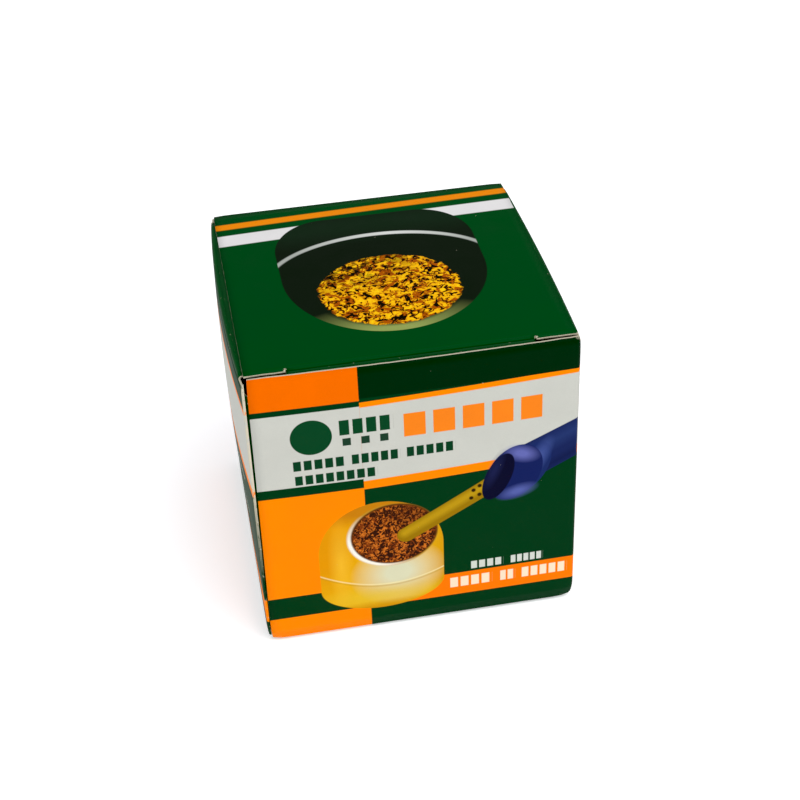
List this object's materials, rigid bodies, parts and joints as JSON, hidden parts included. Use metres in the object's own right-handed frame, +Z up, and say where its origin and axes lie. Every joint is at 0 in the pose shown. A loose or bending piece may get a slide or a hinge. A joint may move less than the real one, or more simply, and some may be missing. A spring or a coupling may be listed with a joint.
{
  "type": "boxed soldering tip cleaner",
  "caption": "Printed tuck-end carton with creased, hinged flaps, holding a round soldering tip cleaner with a lift-off domed cover and a nest of wire wool.",
  "frame": {"origin": "middle of the carton's underside, on the surface that it stands on", "axes": "+Z up through the top lid, -Y out of the front wall, +X to the right of someone who faces the front wall"},
  "size_m": [0.082, 0.081, 0.0831],
  "materials": {
    "printed_board": "satin printed board",
    "bare_board": "matte unprinted board",
    "yellow_plastic": "moulded gloss",
    "silver_trim": "metallised",
    "brass_wool": "bright curled metal shavings",
    "black_rubber": "matte"
  },
  "bodies": {
    "sleeve": {"front_panel": "printed_board", "rear_panel": "printed_board", "right_panel": "printed_board", "left_panel": "printed_board", "glue_flap": "bare_board"},
    "top_lid": {"top_lid": "printed_board"},
    "top_tuck_flap": {"top_tuck_flap": "printed_board"},
    "top_left_dust_flap": {"top_left_dust_flap": "bare_board"},
    "top_right_dust_flap": {"top_right_dust_flap": "bare_board"},
    "bottom_lid": {"bottom_lid": "printed_board"},
    "bottom_tuck_flap": {"bottom_tuck_flap": "printed_board"},
    "bottom_left_dust_flap": {"bottom_left_dust_flap": "bare_board"},
    "bottom_right_dust_flap": {"bottom_right_dust_flap": "bare_board"},
    "cleaner": {"cleaner_base": "yellow_plastic", "trim_ring": "silver_trim", "wire_wool": "brass_wool", "rubber_foot_1": "black_rubber", "rubber_foot_2": "black_rubber", "rubber_foot_3": "black_rubber", "rubber_foot_4": "black_rubber"},
    "cover": {"cleaner_cover": "yellow_plastic"}
  },
  "joints": [
    {"name": "top_lid_crease", "type": "hinge", "parent": "sleeve", "child": "top_lid", "pos_m": [0, 0.0405, 0.08313], "axis": [-1, 0, 0], "range_deg": [0, 180]},
    {"name": "top_tuck_crease", "type": "hinge", "parent": "top_lid", "child": "top_tuck_flap", "pos_m": [0, -0.03879, 0.08313], "axis": [-1, 0, 0], "range_deg": [0, 45]},
    {"name": "top_left_dust_crease", "type": "hinge", "parent": "sleeve", "child": "top_left_dust_flap", "pos_m": [-0.041, 0, 0.08233], "axis": [0, -1, 0], "range_deg": [0, 90]},
    {"name": "top_right_dust_crease", "type": "hinge", "parent": "sleeve", "child": "top_right_dust_flap", "pos_m": [0.041, 0, 0.08233], "axis": [0, 1, 0], "range_deg": [0, 90]},
    {"name": "bottom_lid_crease", "type": "hinge", "parent": "sleeve", "child": "bottom_lid", "pos_m": [0, -0.0405, 0], "axis": [-1, 0, 0], "range_deg": [0, 180]},
    {"name": "bottom_tuck_crease", "type": "hinge", "parent": "bottom_lid", "child": "bottom_tuck_flap", "pos_m": [0, 0.03879, 0], "axis": [-1, 0, 0], "range_deg": [0, 45]},
    {"name": "bottom_left_dust_crease", "type": "hinge", "parent": "sleeve", "child": "bottom_left_dust_flap", "pos_m": [-0.041, 0, 0.0008], "axis": [0, 1, 0], "range_deg": [0, 90]},
    {"name": "bottom_right_dust_crease", "type": "hinge", "parent": "sleeve", "child": "bottom_right_dust_flap", "pos_m": [0.041, 0, 0.0008], "axis": [0, -1, 0], "range_deg": [0, 90]},
    {"name": "cleaner_slide", "type": "slide", "parent": "sleeve", "child": "cleaner", "axis": [0, 0, 1], "range_m": [0, 0.005]},
    {"name": "cover_lift", "type": "slide", "parent": "cleaner", "child": "cover", "axis": [0, 0, 1], "range_m": [0, 0.008]}
  ],
  "couplings": [
    {"joint": "top_tuck_crease", "follows": "top_lid_crease", "ratio": 0.25},
    {"joint": "top_left_dust_crease", "follows": "top_lid_crease", "ratio": 0.5},
    {"joint": "top_right_dust_crease", "follows": "top_lid_crease", "ratio": 0.5},
    {"joint": "bottom_tuck_crease", "follows": "bottom_lid_crease", "ratio": 0.25},
    {"joint": "bottom_left_dust_crease", "follows": "bottom_lid_crease", "ratio": 0.5},
    {"joint": "bottom_right_dust_crease", "follows": "bottom_lid_crease", "ratio": 0.5}
  ]
}
